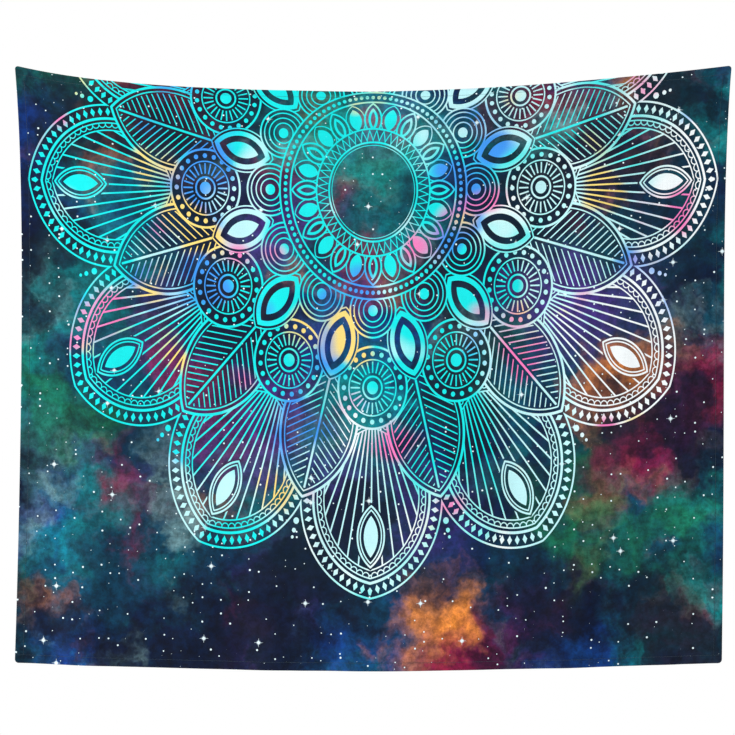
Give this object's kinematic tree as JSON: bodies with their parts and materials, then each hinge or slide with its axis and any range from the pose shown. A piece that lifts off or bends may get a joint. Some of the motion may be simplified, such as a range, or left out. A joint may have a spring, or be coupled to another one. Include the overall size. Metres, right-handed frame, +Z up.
{
  "type": "tapestry wall hanging",
  "caption": "Printed rectangular cloth with turned and stitched hems, hung by cord loops behind its top corners on stick-on wall hooks; its top edge sags between the corners.",
  "frame": {"origin": "on the wall, midway between the two hooks, at the height of the line about which the loops turn on the hooks", "axes": "+Z up, +Y into the wall, +X to the right of someone who faces the print; the print faces -Y"},
  "size_m": [1.5244, 0.0308, 1.288],
  "materials": {
    "printed_cloth": "plain-woven polyester, printed on the front with a plain line mandala on a dark star field, which shows faintly through the unprinted back",
    "needle_thread": "dark polyester sewing thread",
    "bobbin_thread": "pale polyester sewing thread",
    "loop_cord": "braided off-white cord",
    "tack_thread": "close zigzag stitches",
    "hook_plastic": "white moulded plastic",
    "adhesive_foam": "grey closed-cell foam with adhesive faces"
  },
  "bodies": {
    "hooks": {"wall_hook_left": "hook_plastic", "wall_hook_right": "hook_plastic", "adhesive_pad_left": "adhesive_foam", "adhesive_pad_right": "adhesive_foam"},
    "hanging": {"cloth_panel": "printed_cloth", "hem_top": "printed_cloth", "hem_bottom": "printed_cloth", "hem_left": "printed_cloth", "hem_right": "printed_cloth", "needle_thread_top": "needle_thread", "needle_thread_bottom": "needle_thread", "needle_thread_left": "needle_thread", "needle_thread_right": "needle_thread", "bobbin_thread_top": "bobbin_thread", "bobbin_thread_bottom": "bobbin_thread", "bobbin_thread_left": "bobbin_thread", "bobbin_thread_right": "bobbin_thread", "hanging_loop_left": "loop_cord", "hanging_loop_right": "loop_cord", "loop_bar_tack_left": "tack_thread", "loop_bar_tack_right": "tack_thread"}
  },
  "joints": [
    {"name": "swing_from_wall", "type": "hinge", "parent": "hooks", "child": "hanging", "pos_m": [0, -0.0092, 0], "axis": [-1, 0, 0], "range_deg": [0, 60]}
  ]
}
